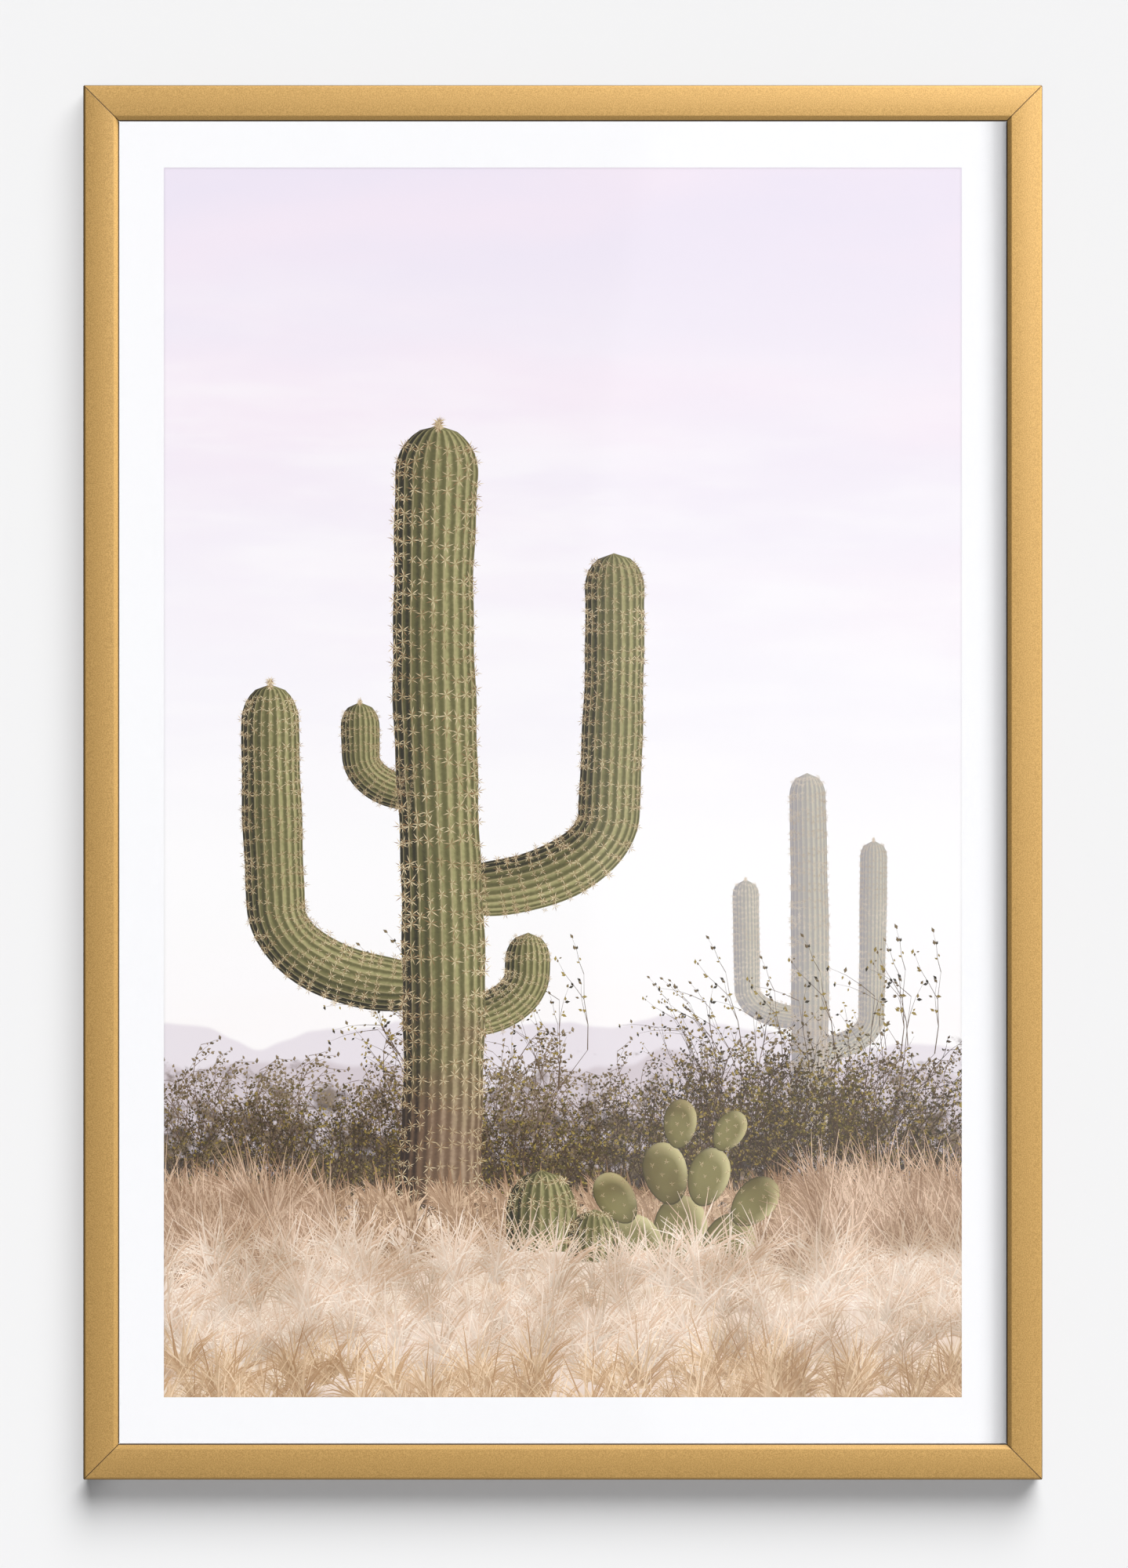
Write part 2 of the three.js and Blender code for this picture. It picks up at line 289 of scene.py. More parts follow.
def rail_mesh(name, length):
    """A rail along X with its outer edge at z = 0, both ends sawn to the mitre. The sawn edges
    are eased, so that a stained groove runs along each seam."""
    section = moulding_section()
    count = len(section)
    core = Vector((FACE_WIDTH / 2, rail_front + EASE_DEPTH))
    mesh = bmesh.new()
    rings = []
    for side, sawn in [(-1, True), (-1, False), (1, False), (1, True)]:
        back = MITRE_SETBACK if sawn else MITRE_SETBACK + MITRE_GROOVE
        ring = []
        for point, finish in section:
            u, y = point.lerp(core, MITRE_EASE) if sawn else point
            along = side * (length / 2 - u - back * math.sqrt(2))
            ring.append(mesh.verts.new((along, y, -u)))
        rings.append(ring)
    stock = mesh.loops.layers.uv.new("Stock")
    girth = 0.0
    for i in range(count):
        j = (i + 1) % count
        step = (section[j][0] - section[i][0]).length
        for one, other in zip(rings, rings[1:]):
            face = mesh.faces.new((one[i], one[j], other[j], other[i]))
            face.smooth = True
            finish = section[i][1] if one is rings[1] else seam_stain_and_ledge_shade
            face.material_index = finishes.index(finish)
            for loop in face.loops:
                around = girth if loop.vert in (one[i], other[i]) else girth + step
                loop[stock].uv = (loop.vert.co.x, around)
        girth += step
    mesh.faces.new(rings[0])
    mesh.faces.new(list(reversed(rings[-1])))
    bmesh.ops.recalc_face_normals(mesh, faces=mesh.faces)
    return written(mesh, name)


def new_object(name, data):
    made = bpy.data.objects.new(name, data)
    bpy.context.scene.collection.objects.link(made)
    return made


def fit(piece, slot, *nodes):
    """Every piece here rides on the one body, and stands for the CAD nodes that it names."""
    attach(piece, "root")
    if nodes:
        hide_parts(*nodes)
    return piece


gold = gold_paint()
wood = bare_wood()
# Painted shade: a dark brown band along the sight edge.
sight_edge_shade = brown_stain_and_shade("sight_edge_stain", (0.055, 0.033, 0.015), (0.10, 0.062, 0.03))
# Stain of the mitre seams, and painted shade on the outer ledge.
seam_stain_and_ledge_shade = brown_stain_and_shade("rubbed_edge_stain", (0.11, 0.064, 0.025), (0.19, 0.115, 0.048))
finishes = [gold, wood, sight_edge_shade, seam_stain_and_ledge_shade]
rails = {}
for quarter, side in enumerate(["top", "right", "bottom", "left"]):
    standing = quarter % 2 == 1
    length = outer_height if standing else outer_width
    reach = (outer_width if standing else outer_height) / 2
    rail = new_object(f"moulding_{side}", rail_mesh(f"moulding_{side}", length))
    turn = Matrix.Rotation(quarter * math.pi / 2, 4, "Y")
    away = Matrix.Translation((0, 0, reach))
    rail.data.transform(Matrix.Translation((0, 0, centre_z)) @ turn @ away)
    for material in finishes:
        rail.data.materials.append(material)
    rail.data.set_sharp_from_angle(angle=RAIL_SHARP_FROM)
    rail.visible_diffuse = False
    rails[side] = fit(rail, "gold_moulding", f"rail_{side}")


# The glazing is one clear acrylic sheet, laid in the rebate behind the lip of the moulding.
# Only its faces that look outwards reflect, and it casts no shadow on the sheets behind it.
ACRYLIC_IOR = 1.49
SHOWN_REFLECTION = 0.5


def clear_sheet():
    finish = Finish("clear_acrylic")
    fresnel = finish.add("ShaderNodeFresnel", {}, {"IOR": ACRYLIC_IOR})
    inside = finish.add("ShaderNodeNewGeometry", out="Backfacing")
    through = finish.add("ShaderNodeBsdfTransparent")
    gloss = finish.add("ShaderNodeBsdfGlossy", {}, {"Roughness": 0.03})
    share = fresnel * (1 - inside) * SHOWN_REFLECTION
    return finish.end(finish.add("ShaderNodeMixShader", {}, {0: share, 1: through, 2: gloss}))


def dress(node, material):
    """A CAD node that keeps its shape gets this one material."""
    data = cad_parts[node].data
    data.materials.clear()
    data.materials.append(material)
    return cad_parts[node]


def unseen_by_bounces(item):
    """Sheets and wall would throw light on the bevels, and the photograph shows none."""
    item.visible_diffuse = False
    item.visible_glossy = False
    return item


glazing = unseen_by_bounces(dress("glazing", clear_sheet()))
glazing.visible_shadow = False


# The mat is a white cotton board. Its window is undercut at 45 degrees, so that the core of
# the board doesn't show round the print.
def mat_paper():
    finish = Finish("mat_paper")
    fibre = finish.noise(finish.place(), 1500, 2, 0.6)
    return finish.surface(
        Base_Color=finish.mix(fibre, (0.885, 0.885, 0.905), (0.905, 0.905, 0.925)),
        Roughness=0.9,
        Normal=finish.bump(fibre, 0.00005, 0.25),
    )


mat = unseen_by_bounces(dress("mat_board", mat_paper()))


# The print is a sheet of satin paper behind the mat's window. Its picture is a made-up desert
# view in flat inks. Sky, haze, far brush and the ground are one finish over the whole sheet.
PAGE_LIGHT = 1.09
WINDOW_WIDTH = 450
WINDOW_HEIGHT = 693.4
UNDERCUT = 1.2
sheet_low, sheet_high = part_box("print")
page_foot = centre_z - WINDOW_HEIGHT / 2000


def ink(red, green, blue):
    """The base colour of an ink, given as it looks in the lit picture, from 0 to 255."""
    levels = []
    for level in (red, green, blue):
        share = level / 255
        linear = share / 12.92 if share < 0.04 else ((share + 0.055) / 1.055) ** 2.4
        levels.append(linear / PAGE_LIGHT)
    return tuple(levels)


def page_map(mesh):
    """A map of the print's pieces: the sheet seen from the front."""
    layer = mesh.uv_layers.new(name="OFBake")
    width = sheet_high.x - sheet_low.x
    height = sheet_high.z - sheet_low.z
    for loop in mesh.loops:
        point = mesh.vertices[loop.vertex_index].co
        layer.data[loop.index].uv = (
            (point.x - sheet_low.x) / width,
            (point.z - sheet_low.z) / height,
        )


def flat_ink(finish, colour):
    """Ends the finish of something printed: dull, with hardly any shine."""
    return finish.surface(Base_Color=colour, Roughness=0.6, Specular_IOR_Level=0.2)


def printed_view():
    finish = Finish("printed_view")
    split = finish.add("ShaderNodeSeparateXYZ", {}, {0: finish.place()}, "X")
    across = split * 1000
    up = (Value(finish, split.socket.node.outputs["Z"]) - page_foot) * 1000

    def field(step_across, step_up, seed, detail=2.0, roughness=0.5):
        """Noise with cells of that many millimetres across and up."""
        sockets = {0: across / step_across + seed, 1: up / step_up + seed}
        vector = finish.add("ShaderNodeCombineXYZ", {}, sockets)
        sockets = {"Vector": vector, "Scale": 1, "Detail": detail, "Roughness": roughness}
        return finish.add("ShaderNodeTexNoise", {"noise_dimensions": "2D"}, sockets)

    stops = [
        (0.27, ink(254, 250, 250)),
        (0.42, ink(254, 253, 254)),
        (0.58, ink(249, 246, 252)),
        (0.80, ink(243, 236, 247)),
        (1.00, ink(238, 230, 245)),
    ]
    sky = finish.add("ShaderNodeValToRGB", {"stops": stops}, {0: up / WINDOW_HEIGHT})
    slant = up + 0.16 * across
    veil = finish.fade(field(240, 60, 3.1, 3), 0.3, 0.75) * finish.fade(slant, 300, 560)
    sky = finish.mix(veil * 0.4, sky, ink(252, 236, 246))
    cloud = finish.fade(field(170, 30, 8.7, 4, 0.6), 0.3, 0.8) * finish.fade(slant, 660, 480)
    sky = finish.mix(cloud * 0.6, sky, ink(255, 253, 255))

    ridge = 176 + 70 * field(120, 900, 5.3, 3, 0.45)
    view = finish.mix(finish.fade(up - ridge, 1.5, -1.5) * 0.75, sky, ink(226, 217, 226))
    nearer = 158 + 60 * field(95, 900, 11.9, 3, 0.5)
    view = finish.mix(finish.fade(up - nearer, 2.0, -2.0) * 0.8, view, ink(208, 196, 202))

    clump = field(17, 14, 21.4, 4, 0.6)
    cover = finish.fade(clump + (164 - up) * 0.0062, 0.45, 0.68)
    dapple = finish.fade(field(9, 9, 2.2, 2), 0.35, 0.65)
    leaf = finish.mix(dapple, ink(58, 44, 26), ink(108, 90, 52))
    leaf = finish.mix(finish.fade(up, 140, 210) * 0.6, leaf, ink(176, 162, 168))
    view = finish.mix(cover * 0.94, view, leaf)

    edge = up + 26 * (field(48, 60, 14.8, 3) - 0.5)
    blades = finish.fade(field(4, 17, 9.1, 3, 0.6), 0.3, 0.7)
    straw = finish.mix(blades, ink(210, 176, 142), ink(246, 228, 208))
    straw = finish.mix(finish.fade(field(60, 30, 6.6, 3), 0.42, 0.66), straw, ink(240, 220, 206))
    hollow = finish.fade(field(34, 15, 17.5, 3), 0.55, 0.75) * 0.6
    straw = finish.mix(hollow, straw, ink(160, 124, 92))
    view = finish.mix(finish.fade(edge, 122, 98), view, straw)
    return flat_ink(finish, view)


def slab_mesh(name, low, high):
    mesh = bmesh.new()
    bmesh.ops.create_cube(mesh, size=1)
    for corner in mesh.verts:
        corner.co = (low + high) / 2 + corner.co * (high - low)
    return written(mesh, name)


print_sheet = new_object("print_sheet", slab_mesh("print_sheet", sheet_low, sheet_high))
page_map(print_sheet.data)
print_sheet.data.materials.append(printed_view())
fit(unseen_by_bounces(print_sheet), "print_paper", "print")
inked = [print_sheet]


# The plants of the picture are printed too. Their flat inks lie up to a quarter of a
# millimetre in front of the sheet, the nearest plants in front. A stroke carries the colours
# of its ink.
def on_page(x, z, depth):
    """A place on the page, from millimetres to metres."""
    return (x / 1000, -depth / 1000, z / 1000)


def run_at(path, i):
    """Which way a path runs at one of its points."""
    return Vector(path[min(i + 1, len(path) - 1)]) - Vector(path[max(i - 1, 0)])


def between(first, last, share):
    """A colour on the way from one to another."""
    return [a + (b - a) * share for a, b in zip(first, last)]


def mesh_of(name, points, faces):
    made = bpy.data.meshes.new(name)
    made.from_pydata(points, [], faces)
    return made


class Drawing:
    """Flat shapes of the page gathered into one mesh, in millimetres, x across and z up."""

    def __init__(self):
        self.points = []
        self.inks = []
        self.faces = []

    def point(self, x, z, depth, colour):
        self.points.append(on_page(x, z, depth))
        self.inks.append((*colour, 1))
        return len(self.points) - 1

    def stroke(self, path, widths, first, last, depth=0.0):
        before = None
        for i, place in enumerate(path):
            run = run_at(path, i)
            out = Vector((-run.y, run.x)).normalized() * widths[i] / 2
            colour = between(first, last, i / (len(path) - 1))
            left = self.point(place[0] + out.x, place[1] + out.y, depth, colour)
            right = self.point(place[0] - out.x, place[1] - out.y, depth, colour)
            if before:
                self.faces.append((*before, right, left))
            before = (left, right)

    def leaf(self, x, z, length, width, turn, colour, depth=0.0):
        """A pointed leaf of four corners that starts at x, z."""
        along = Vector((math.sin(turn), math.cos(turn)))
        over = Vector((-along.y, along.x)) * width / 2
        middle = Vector((x, z)) + along * length * 0.45
        tip = Vector((x, z)) + along * length
        corners = [(x, z), tuple(middle - over), tuple(tip), tuple(middle + over)]
        self.faces.append([self.point(*corner, depth, colour) for corner in corners])

    def mesh(self, name):
        made = mesh_of(name, self.points, self.faces)
        colours = made.color_attributes.new("ink", "FLOAT_COLOR", "POINT")
        for datum, colour in zip(colours.data, self.inks):
            datum.color = colour
        return made


def plain_mesh(made):
    """The object with its modifiers worked into its mesh and removed."""
    depsgraph = bpy.context.evaluated_depsgraph_get()
    mesh = bpy.data.meshes.new_from_object(made.evaluated_get(depsgraph))
    mesh.name = made.name
    made.modifiers.clear()
    made.data = mesh
    return made


class Layout(Nodes):
    """A Geometry Nodes tree in the making, with named inputs."""

    def __init__(self, name, inputs):
        super().__init__(bpy.data.node_groups.new(name, "GeometryNodeTree"))
        face = self.tree.interface
        face.new_socket("Geometry", in_out="OUTPUT", socket_type="NodeSocketGeometry")
        for label, kind in {"Geometry": "Geometry", **inputs}.items():
            face.new_socket(label, in_out="INPUT", socket_type=f"NodeSocket{kind}")
        self.group_input = self.tree.nodes.new("NodeGroupInput")
        self.group_output = self.tree.nodes.new("NodeGroupOutput")

    def given(self, label):
        return Value(self, self.group_input.outputs[label])

    def end(self, copies, seed=0):
        """Gives each copy a tone of its own, makes all real and gives them their finish."""
        tone = self.add("FunctionNodeRandomValue", {"data_type": "FLOAT"}, {8: seed}, 1)
        settings = {"data_type": "FLOAT", "domain": "INSTANCE"}
        sockets = {"Geometry": copies, "Name": "tone", "Value": tone}
        copies = self.add("GeometryNodeStoreNamedAttribute", settings, sockets)
        real = self.add("GeometryNodeRealizeInstances", {}, {0: copies})
        sockets = {"Geometry": real, "Material": self.given("Finish")}
        dressed = self.add("GeometryNodeSetMaterial", {}, sockets)
        self.tree.links.new(dressed.socket, self.group_output.inputs[0])

    def work(self, name, base, **inputs):
        """A new object: the base mesh with this layout worked in."""
        made = new_object(name, base)
        modifier = made.modifiers.new("layout", "NODES")
        modifier.node_group = self.tree
        for item in self.tree.interface.items_tree:
            if item.in_out == "INPUT" and item.name in inputs:
                modifier[item.identifier] = inputs[item.name]
        return plain_mesh(made)


def sowing_layout():
    """Sows copies of a plant over a bed. The lower on the page, the nearer they lie."""
    inputs = {"Plant": "Object", "Seed": "Int", "Finish": "Material"}
    for label in ("Density", "Lean", "Smallest", "Largest", "Top", "Slope"):
        inputs[label] = "Float"
    layout = Layout("sowing", inputs)
    seed = layout.given("Seed")
    beds = {"Mesh": layout.given("Geometry"), "Density": layout.given("Density"), "Seed": seed}
    sown = layout.add("GeometryNodeDistributePointsOnFaces", {}, beds, "Points")
    place = layout.add("GeometryNodeInputPosition")
    height = layout.add("ShaderNodeSeparateXYZ", {}, {0: place}, "Z")
    nearer = (height - layout.given("Top")) * layout.given("Slope")
    offset = layout.add("ShaderNodeCombineXYZ", {}, {1: nearer})
    sown = layout.add("GeometryNodeSetPosition", {}, {"Geometry": sown, "Offset": offset})

    def draw(low, high, step):
        settings = {"data_type": "FLOAT"}
        return layout.add("FunctionNodeRandomValue", settings, {2: low, 3: high, 8: seed + step}, 1)

    lean = layout.given("Lean")
    turn = layout.add("ShaderNodeCombineXYZ", {}, {1: draw(0 - lean, lean, 1)})
    plant = layout.add("GeometryNodeObjectInfo", {}, {"Object": layout.given("Plant")}, "Geometry")
    size = draw(layout.given("Smallest"), layout.given("Largest"), 2)
    sockets = {"Points": sown, "Instance": plant, "Rotation": turn, "Scale": size}
    layout.end(layout.add("GeometryNodeInstanceOnPoints", {}, sockets), seed + 3)
    return layout


def setting_out_layout():
    """Sets a copy of a shape on every point, turned and sized as the point says."""
    layout = Layout("setting_out", {"Shape": "Object", "Finish": "Material"})

    def noted(label):
        return layout.add("GeometryNodeInputNamedAttribute", {"data_type": "FLOAT"}, {0: label})

    turn = layout.add("ShaderNodeCombineXYZ", {}, {1: noted("turn")})
    shape = layout.add("GeometryNodeObjectInfo", {}, {"Object": layout.given("Shape")}, "Geometry")
    places = layout.given("Geometry")
    sockets = {"Points": places, "Instance": shape, "Rotation": turn, "Scale": noted("size")}
    layout.end(layout.add("GeometryNodeInstanceOnPoints", {}, sockets))
    return layout


def spots(name, places):
    """Points to set copies on, each with its place, its turn and its size."""
    mesh = mesh_of(name, [place for place, turn, size in places], [])
    for label, column in [("turn", 1), ("size", 2)]:
        values = mesh.attributes.new(label, "FLOAT", "POINT")
        values.data.foreach_set("value", [place[column] for place in places])
    return mesh


def printed_ink():
    """Ink of the stroke's own colour, a little darker or paler from plant to plant."""
    finish = Finish("printed_ink")
    colour = finish.add("ShaderNodeAttribute", {"attribute_name": "ink"}, out="Color")
    tone = finish.add("ShaderNodeAttribute", {"attribute_name": "tone"}, out="Fac")
    drift = finish.noise(finish.place(), 30, 2)
    settings = {"operation": "MULTIPLY"}
    dim = finish.add("ShaderNodeVectorMath", settings, {0: colour, 1: (0.66, 0.57, 0.47)})
    pale = finish.add("ShaderNodeVectorMath", settings, {0: colour, 1: (1.20, 1.18, 1.18)})
    base = finish.mix(0.35 * tone + 0.65 * finish.fade(drift, 0.33, 0.67), dim, pale)
    return flat_ink(finish, base)


page_ink = printed_ink()
sowing = sowing_layout()
setting_out = setting_out_layout()


def lay_on_page(made, depth):
    """Sets a drawing on the page at its depth and cuts it off behind the mat's window."""
    made.data.transform(Matrix.Translation((0, sheet_low.y - depth / 1000, page_foot)))
    mesh = bmesh.new()
    mesh.from_mesh(made.data)
    edge_x = (WINDOW_WIDTH / 2 + UNDERCUT) / 1000
    low = page_foot - UNDERCUT / 1000
    high = page_foot + (WINDOW_HEIGHT + UNDERCUT) / 1000
    for place, away in [
        ((edge_x, 0, 0), (1, 0, 0)),
        ((-edge_x, 0, 0), (-1, 0, 0)),
        ((0, 0, low), (0, 0, -1)),
        ((0, 0, high), (0, 0, 1)),
    ]:
        every = mesh.verts[:] + mesh.edges[:] + mesh.faces[:]
        bmesh.ops.bisect_plane(mesh, geom=every, plane_co=place, plane_no=away, clear_outer=True)
    mesh.to_mesh(made.data)
    mesh.free()
    page_map(made.data)
    made.visible_shadow = False
    inked.append(unseen_by_bounces(made))
    return fit(made, "print_paper")


def bed(name, left, right, low, high):
    """A patch of the page, in millimetres, that plants are sown over."""
    corners = [(left, low), (right, low), (right, high), (left, high)]
    return mesh_of(name, [on_page(x, z, 0) for x, z in corners], [(0, 1, 2, 3)])


def sow(name, plant, patch, count, seed, lean, sizes, depth, spread=0.02):
    """Sows about count plants over a patch: left, right, low and high."""
    left, right, low, high = patch
    area = (right - left) * (high - low) / 1e6
    made = sowing.work(
        name,
        bed(name, *patch),
        Plant=plant,
        Density=count / area,
        Seed=seed,
        Lean=lean,
        Smallest=sizes[0],
        Largest=sizes[1],
        Top=high / 1000,
        Slope=spread / (high - low),
        Finish=page_ink,
    )
    return lay_on_page(made, depth)


def tuft(name, seed, blades, length, dark, pale):
    """A bunch of dry grass, its blades bowed outwards from one foot."""
    chance = random.Random(seed)
    drawing = Drawing()
    for blade in range(blades):
        turn = chance.uniform(-1.1, 1.1)
        reach = length * chance.uniform(0.55, 1.0) * (1 - 0.25 * abs(turn))
        bow = chance.uniform(0.1, 0.5) * turn
        path = []
        x, z = chance.uniform(-3, 3), 0.0
        for step in range(4):
            path.append((x, z))
            angle = turn * 0.75 + bow * step
            x += math.sin(angle) * reach / 3
            z += math.cos(angle) * reach / 3
        shade = chance.uniform(0, 1)
        tip = between(dark, pale, shade)
        foot = [level * 0.8 for level in tip]
        drawing.stroke(path, (0.9, 0.8, 0.55, 0.15), foot, tip, blade * 0.0002)
    return new_object(name, drawing.mesh(name))


def spray(name, seed, length, wood_ink, leaf_inks, leaf_size):
    """A branch of a desert shrub: thin forked twigs with small leaves."""
    chance = random.Random(seed)
    drawing = Drawing()

    def twig(x, z, turn, reach, width, order):
        path = []
        for step in range(4):
            path.append((x, z))
            turn += chance.uniform(-0.22, 0.22)
            x += math.sin(turn) * reach / 3
            z += math.cos(turn) * reach / 3
        drawing.stroke(path, [width * (1 - 0.25 * step) for step in range(4)], wood_ink, wood_ink)
        for place in path[1:]:
            if order < 2:
                side = chance.choice((-1, 1))
                lean = turn + side * chance.uniform(0.3, 0.8)
                twig(*place, lean, reach * chance.uniform(0.45, 0.65), width * 0.6, order + 1)
            else:
                for _ in range(chance.choice((1, 2, 3))):
                    size = leaf_size * chance.uniform(0.6, 1.2)
                    stray_x, stray_z = chance.uniform(-1.2, 1.2), chance.uniform(-1.2, 1.2)
                    lean = turn + chance.uniform(-1.7, 1.7)
                    colour = chance.choice(leaf_inks)
                    at = (place[0] + stray_x, place[1] + stray_z)
                    drawing.leaf(*at, size, size * 0.55, lean, colour, 0.001)

    twig(0, 0, 0, length, 0.9, 0)
    return new_object(name, drawing.mesh(name))


def cleared(*plants):
    """Shapes that were only there to be copied leave the scene."""
    for plant in plants:
        bpy.data.objects.remove(plant)


# Brush stands along the horizon of the picture, hazy at the back and darker in front. It is
# printed as sprays of thin forked twigs with small leaves.
far_inks = [ink(116, 100, 70), ink(146, 130, 104), ink(90, 76, 46)]
near_inks = [ink(90, 80, 34), ink(50, 42, 20), ink(154, 136, 66), ink(78, 60, 34)]
far_spray = spray("far_spray", 4, 30, ink(122, 104, 92), far_inks, 2.2)
near_spray = spray("near_spray", 9, 44, ink(66, 50, 38), near_inks, 2.4)
tall_spray = spray("tall_spray", 27, 78, ink(96, 76, 58), near_inks[1:3] + far_inks[:1], 2.6)
for name, plant, patch, count, seed, lean, sizes, depth in [
    ("brush_far_left", far_spray, (-232, -40, 124, 152), 120, 3, 0.8, (0.3, 1.2), 0.02),
    ("brush_far_right", far_spray, (-40, 232, 124, 156), 160, 13, 0.8, (0.3, 1.2), 0.02),
    ("brush_left", near_spray, (-232, -150, 104, 124), 60, 5, 0.9, (0.3, 0.9), 0.05),
    ("brush_middle", near_spray, (-140, 60, 94, 124), 240, 8, 0.9, (0.3, 1.0), 0.05),
    ("brush_right", near_spray, (80, 190, 104, 150), 150, 6, 0.9, (0.3, 1.1), 0.05),
    ("brush_edge", near_spray, (30, 232, 104, 126), 90, 7, 0.9, (0.3, 0.9), 0.05),
    ("brush_tall_left", tall_spray, (-130, -20, 110, 124), 9, 11, 0.45, (0.7, 1.1), 0.048),
    ("brush_tall_right", tall_spray, (60, 170, 112, 130), 11, 17, 0.45, (0.7, 1.25), 0.048),
]:
    sow(name, plant, patch, count, seed, lean, sizes, depth)
cleared(far_spray, near_spray, tall_spray)


# The main plants are tall cacti with pleated green stems, woody at the foot. A star of pale
# spines stands every few millimetres along each pleat.
PLEATS = 22
STEM_COLUMNS = 8
STEM_STEP = 3.0
STAR_GAP = 9.0
STAR_STEM_WIDTH = 44
DOME_SHARE = 0.62
NECK_LENGTH = 14


def cactus_skin():
    """Pleats across a stem, shaded as if it were round and lit from the right."""
    finish = Finish("cactus_skin")
    stem = finish.add("ShaderNodeAttribute", {"attribute_name": "ink"}, out="Color")
    red = finish.add("ShaderNodeSeparateColor", {}, {0: stem}, "Red")
    across = red * 2 - 1
    along = Value(finish, red.socket.node.outputs["Green"]) * 1000
    haze = Value(finish, red.socket.node.outputs["Blue"])
    place = finish.place()
    mottle = finish.noise(place, 420, 4, 0.65)
    around = across.arcsine()
    pleat = (around * PLEATS + finish.noise(place, 25, 1)).cosine()
    lit_side = (around * PLEATS).sine()
    shade = 0.6 * (around - 0.6).cosine() + 0.16 * pleat + 0.16 * lit_side
    shade = shade + 0.34 * (mottle - 0.5)
    flesh = finish.mix(finish.fade(shade, -0.1, 0.5), ink(38, 34, 20), ink(104, 100, 60))
    flesh = finish.mix(finish.fade(shade, 0.4, 0.95), flesh, ink(186, 180, 126))
    flesh = finish.mix(finish.fade(pleat, 0.7, 1.0) * 0.35, flesh, ink(206, 188, 144))
    bark = finish.mix(finish.fade(shade, -0.1, 0.5), ink(46, 32, 24), ink(118, 92, 70))
    bark = finish.mix(finish.fade(shade, 0.4, 0.9), bark, ink(186, 160, 132))
    foot = finish.fade(along + 110 * (finish.noise(place, 34, 3, 0.6) - 0.5), 130, 30)
    base = finish.mix(haze, finish.mix(foot, flesh, bark), ink(238, 232, 238))
    return flat_ink(finish, base)


def upright(x, foot, top, sway):
    """The middle line of a trunk, swaying a little."""
    steps = int((top - foot) / STEM_STEP)
    heights = [foot + (top - foot) * i / steps for i in range(steps + 1)]
    return [(x + sway * math.sin((z - foot) / 70), z) for z in heights]


def bent_arm(x, z, out, rise, top):
    """The middle line of an arm: out of the trunk in a quarter bend, then up."""
    bend_steps = int((abs(out) + rise) / STEM_STEP)
    quarter = [math.pi / 2 * i / bend_steps for i in range(bend_steps)]
    bend = [(x + out * math.sin(t), z + rise * (1 - math.cos(t))) for t in quarter]
    return bend + upright(x + out, z + rise, top, out * 0.04)


class Cactus:
    """Stems gathered into one drawing, with the places of their stars of spines."""

    def __init__(self, haze, seed):
        self.haze = haze
        self.chance = random.Random(seed)
        self.drawing = Drawing()
        self.stars = []

    def stem(self, path, width, depth, neck=1.0, above=200):
        """A stem with a round top. Its ink holds how far across, how far above the woody foot
        of the plant, and the haze."""
        drawing = self.drawing
        dome = width * DOME_SHARE
        total = sum((Vector(b) - Vector(a)).length for a, b in zip(path, path[1:]))
        along = 0.0
        row_before = []
        next_star = STAR_GAP / 2
        for i, place in enumerate(path):
            run = run_at(path, i)
            if i:
                along += (Vector(place) - Vector(path[i - 1])).length
            out = Vector((run.y, -run.x)).normalized() * width / 2
            out *= 1 - (1 - neck) * math.exp(-along / NECK_LENGTH)
            out *= 1 + 0.022 * math.sin(along / 23 + width) + 0.012 * math.sin(along / 7.3)
            left = total - along
            if left < dome:
                out *= math.sqrt(max(0.0, 1 - (1 - left / dome) ** 2))
            row = []
            for column in range(STEM_COLUMNS + 1):
                across = 2 * column / STEM_COLUMNS - 1
                x, z = Vector(place) + out * across
                marks = (across / 2 + 0.5, (above + along) / 1000, self.haze)
                row.append(drawing.point(x, z, depth, marks))
            drawing.faces += zip(row_before, row_before[1:], row[1:], row)
            row_before = row
            if along > next_star:
                self.add_stars(Vector(place), out, width, depth)
                next_star += STAR_GAP * width / STAR_STEM_WIDTH

    def add_stars(self, place, out, width, depth):
        for k in range(-(PLEATS // 4), PLEATS // 4 + 1):
            spot = place + out * math.sin(2 * math.pi * k / PLEATS)
            spot.y += self.chance.uniform(-0.3, 0.3) * STAR_GAP * width / STAR_STEM_WIDTH
            turn = self.chance.uniform(0, math.pi)
            size = self.chance.uniform(0.7, 1.15) * width / STAR_STEM_WIDTH
            self.stars.append((on_page(spot.x, spot.y, depth + 0.01), turn, size))

    def lay(self, name, star, depth):
        stems = new_object(f"{name}_stems", self.drawing.mesh(f"{name}_stems"))
        stems.data.materials.append(skin)
        lay_on_page(stems, depth)
        base = spots(f"{name}_spines", self.stars)
        lay_on_page(setting_out.work(f"{name}_spines", base, Shape=star, Finish=page_ink), depth)


def spine_star(name, seed, colour, tip):
    """Spines standing out of one point, as they show from the front."""
    chance = random.Random(seed)
    drawing = Drawing()
    spines = 8
    for i in range(spines):
        turn = 2 * math.pi * (i + chance.uniform(-0.3, 0.3)) / spines
        drawing.leaf(0, 0, chance.uniform(2.4, 4.6), 0.5, turn, tip if i % 3 else colour)
    return new_object(name, drawing.mesh(name))


